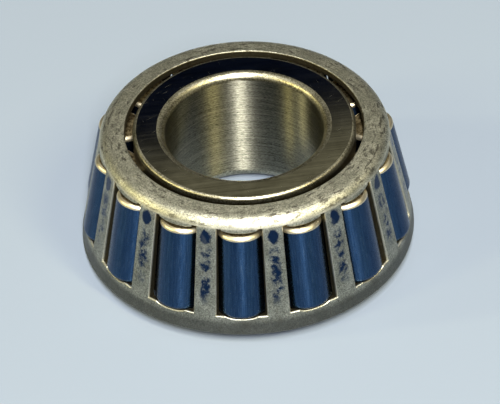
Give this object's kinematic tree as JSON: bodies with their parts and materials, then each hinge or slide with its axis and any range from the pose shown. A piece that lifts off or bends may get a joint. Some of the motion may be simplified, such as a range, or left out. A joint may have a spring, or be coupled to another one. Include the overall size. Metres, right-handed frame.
{
  "type": "tapered roller bearing cone assembly",
  "caption": "Cone assembly of a tapered roller bearing: ground inner ring, polished tapered rollers and a stamped steel cage, without its outer ring.",
  "frame": {"origin": "centre of the inner ring's back face, at the large end, on the bearing axis", "axes": "+Z along the bearing axis from the large end to the small end; X and Y across it, with a roller a few degrees to -X of the -Y direction"},
  "size_m": [0.0404, 0.0404, 0.0166],
  "materials": {
    "ring_steel": "ground bearing steel with fine grinding lines",
    "cage_steel": "matt stamped sheet steel, tumbled, with burnished patches",
    "roller_steel": "superfinished bearing steel, mirror bright"
  },
  "bodies": {
    "inner_ring": {"inner_ring": "ring_steel"},
    "cage": {"cage": "cage_steel"},
    "roller_01": {"roller_01": "roller_steel"},
    "roller_02": {"roller_02": "roller_steel"},
    "roller_03": {"roller_03": "roller_steel"},
    "roller_04": {"roller_04": "roller_steel"},
    "roller_05": {"roller_05": "roller_steel"},
    "roller_06": {"roller_06": "roller_steel"},
    "roller_07": {"roller_07": "roller_steel"},
    "roller_08": {"roller_08": "roller_steel"},
    "roller_09": {"roller_09": "roller_steel"},
    "roller_10": {"roller_10": "roller_steel"},
    "roller_11": {"roller_11": "roller_steel"},
    "roller_12": {"roller_12": "roller_steel"},
    "roller_13": {"roller_13": "roller_steel"},
    "roller_14": {"roller_14": "roller_steel"}
  },
  "joints": [
    {"name": "cage_spin", "type": "hinge", "parent": "inner_ring", "child": "cage", "pos_m": [0, 0, 0.009], "axis": [0, 0, 1], "continuous": true},
    {"name": "roller_01_spin", "type": "hinge", "parent": "cage", "child": "roller_01", "pos_m": [-0.00104, -0.01627, 0.00863], "axis": [0.0109, 0.171, 0.9852], "continuous": true},
    {"name": "roller_02_spin", "type": "hinge", "parent": "cage", "child": "roller_02", "pos_m": [0.00612, -0.01511, 0.00863], "axis": [-0.0643, 0.1588, 0.9852], "continuous": true},
    {"name": "roller_03_spin", "type": "hinge", "parent": "cage", "child": "roller_03", "pos_m": [0.01207, -0.01096, 0.00863], "axis": [-0.1269, 0.1152, 0.9852], "continuous": true},
    {"name": "roller_04_spin", "type": "hinge", "parent": "cage", "child": "roller_04", "pos_m": [0.01563, -0.00464, 0.00863], "axis": [-0.1643, 0.0487, 0.9852], "continuous": true},
    {"name": "roller_05_spin", "type": "hinge", "parent": "cage", "child": "roller_05", "pos_m": [0.01609, 0.00261, 0.00863], "axis": [-0.1691, -0.0274, 0.9852], "continuous": true},
    {"name": "roller_06_spin", "type": "hinge", "parent": "cage", "child": "roller_06", "pos_m": [0.01337, 0.00933, 0.00863], "axis": [-0.1405, -0.0981, 0.9852], "continuous": true},
    {"name": "roller_07_spin", "type": "hinge", "parent": "cage", "child": "roller_07", "pos_m": [0.008, 0.01421, 0.00863], "axis": [-0.084, -0.1493, 0.9852], "continuous": true},
    {"name": "roller_08_spin", "type": "hinge", "parent": "cage", "child": "roller_08", "pos_m": [0.00104, 0.01627, 0.00863], "axis": [-0.0109, -0.171, 0.9852], "continuous": true},
    {"name": "roller_09_spin", "type": "hinge", "parent": "cage", "child": "roller_09", "pos_m": [-0.00612, 0.01511, 0.00863], "axis": [0.0643, -0.1588, 0.9852], "continuous": true},
    {"name": "roller_10_spin", "type": "hinge", "parent": "cage", "child": "roller_10", "pos_m": [-0.01207, 0.01096, 0.00863], "axis": [0.1269, -0.1152, 0.9852], "continuous": true},
    {"name": "roller_11_spin", "type": "hinge", "parent": "cage", "child": "roller_11", "pos_m": [-0.01563, 0.00464, 0.00863], "axis": [0.1643, -0.0487, 0.9852], "continuous": true},
    {"name": "roller_12_spin", "type": "hinge", "parent": "cage", "child": "roller_12", "pos_m": [-0.01609, -0.00261, 0.00863], "axis": [0.1691, 0.0274, 0.9852], "continuous": true},
    {"name": "roller_13_spin", "type": "hinge", "parent": "cage", "child": "roller_13", "pos_m": [-0.01337, -0.00933, 0.00863], "axis": [0.1405, 0.0981, 0.9852], "continuous": true},
    {"name": "roller_14_spin", "type": "hinge", "parent": "cage", "child": "roller_14", "pos_m": [-0.008, -0.01421, 0.00863], "axis": [0.084, 0.1493, 0.9852], "continuous": true}
  ],
  "couplings": [
    {"joint": "roller_01_spin", "follows": "cage_spin", "ratio": 4.6747},
    {"joint": "roller_02_spin", "follows": "cage_spin", "ratio": 4.6747},
    {"joint": "roller_03_spin", "follows": "cage_spin", "ratio": 4.6747},
    {"joint": "roller_04_spin", "follows": "cage_spin", "ratio": 4.6747},
    {"joint": "roller_05_spin", "follows": "cage_spin", "ratio": 4.6747},
    {"joint": "roller_06_spin", "follows": "cage_spin", "ratio": 4.6747},
    {"joint": "roller_07_spin", "follows": "cage_spin", "ratio": 4.6747},
    {"joint": "roller_08_spin", "follows": "cage_spin", "ratio": 4.6747},
    {"joint": "roller_09_spin", "follows": "cage_spin", "ratio": 4.6747},
    {"joint": "roller_10_spin", "follows": "cage_spin", "ratio": 4.6747},
    {"joint": "roller_11_spin", "follows": "cage_spin", "ratio": 4.6747},
    {"joint": "roller_12_spin", "follows": "cage_spin", "ratio": 4.6747},
    {"joint": "roller_13_spin", "follows": "cage_spin", "ratio": 4.6747},
    {"joint": "roller_14_spin", "follows": "cage_spin", "ratio": 4.6747}
  ]
}
